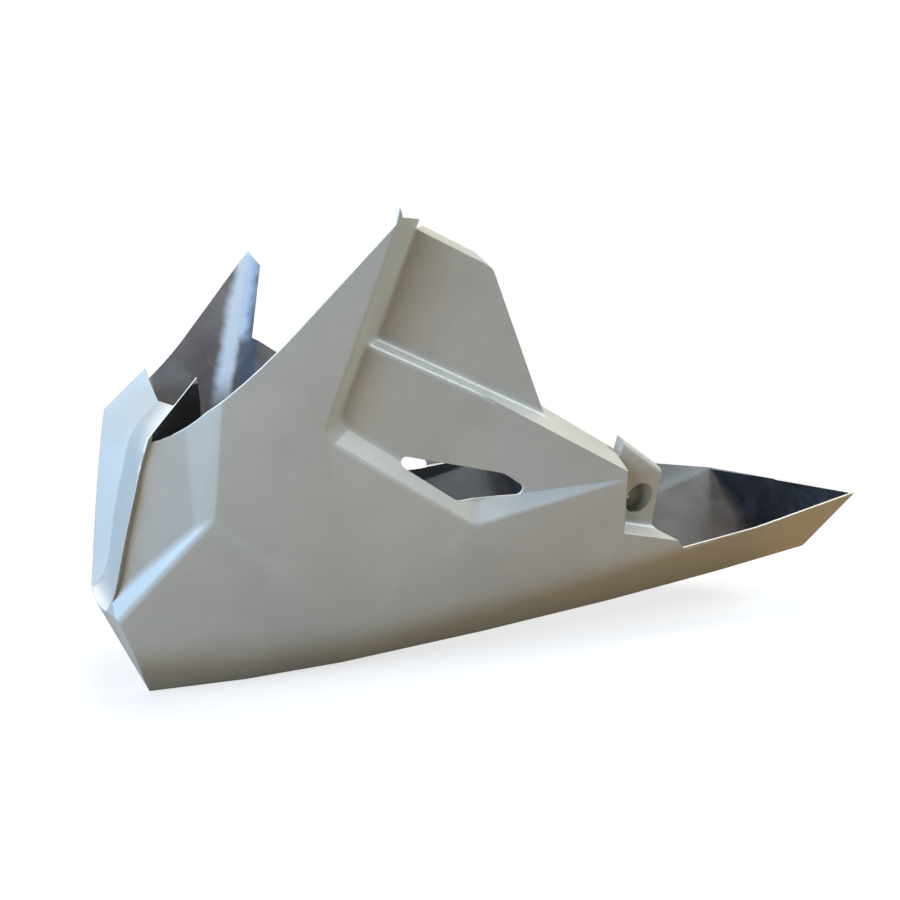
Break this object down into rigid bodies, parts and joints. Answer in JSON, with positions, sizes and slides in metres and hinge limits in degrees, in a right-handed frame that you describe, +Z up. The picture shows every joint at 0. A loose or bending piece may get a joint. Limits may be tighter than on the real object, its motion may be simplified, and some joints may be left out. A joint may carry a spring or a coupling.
{
  "type": "motorcycle lower fairing",
  "caption": "Boat-shaped lower fairing, open at the top, with a wheel channel in the bow, a tall peak on each side, recessed flanks with vent slots and a bolt boss at the rear of each flank",
  "frame": {"origin": "middle of the length and width, on the ground plane that touches the lowest line of the keel", "axes": "+X to the front of the motorcycle, +Y to its left, +Z up"},
  "size_m": [0.7866, 0.4164, 0.4],
  "materials": {
    "gelcoat": "light grey gelcoat with a low gloss outside, bare dark laminate inside"
  },
  "bodies": {
    "root": {"fairing_shell": "gelcoat"}
  },
  "joints": []
}
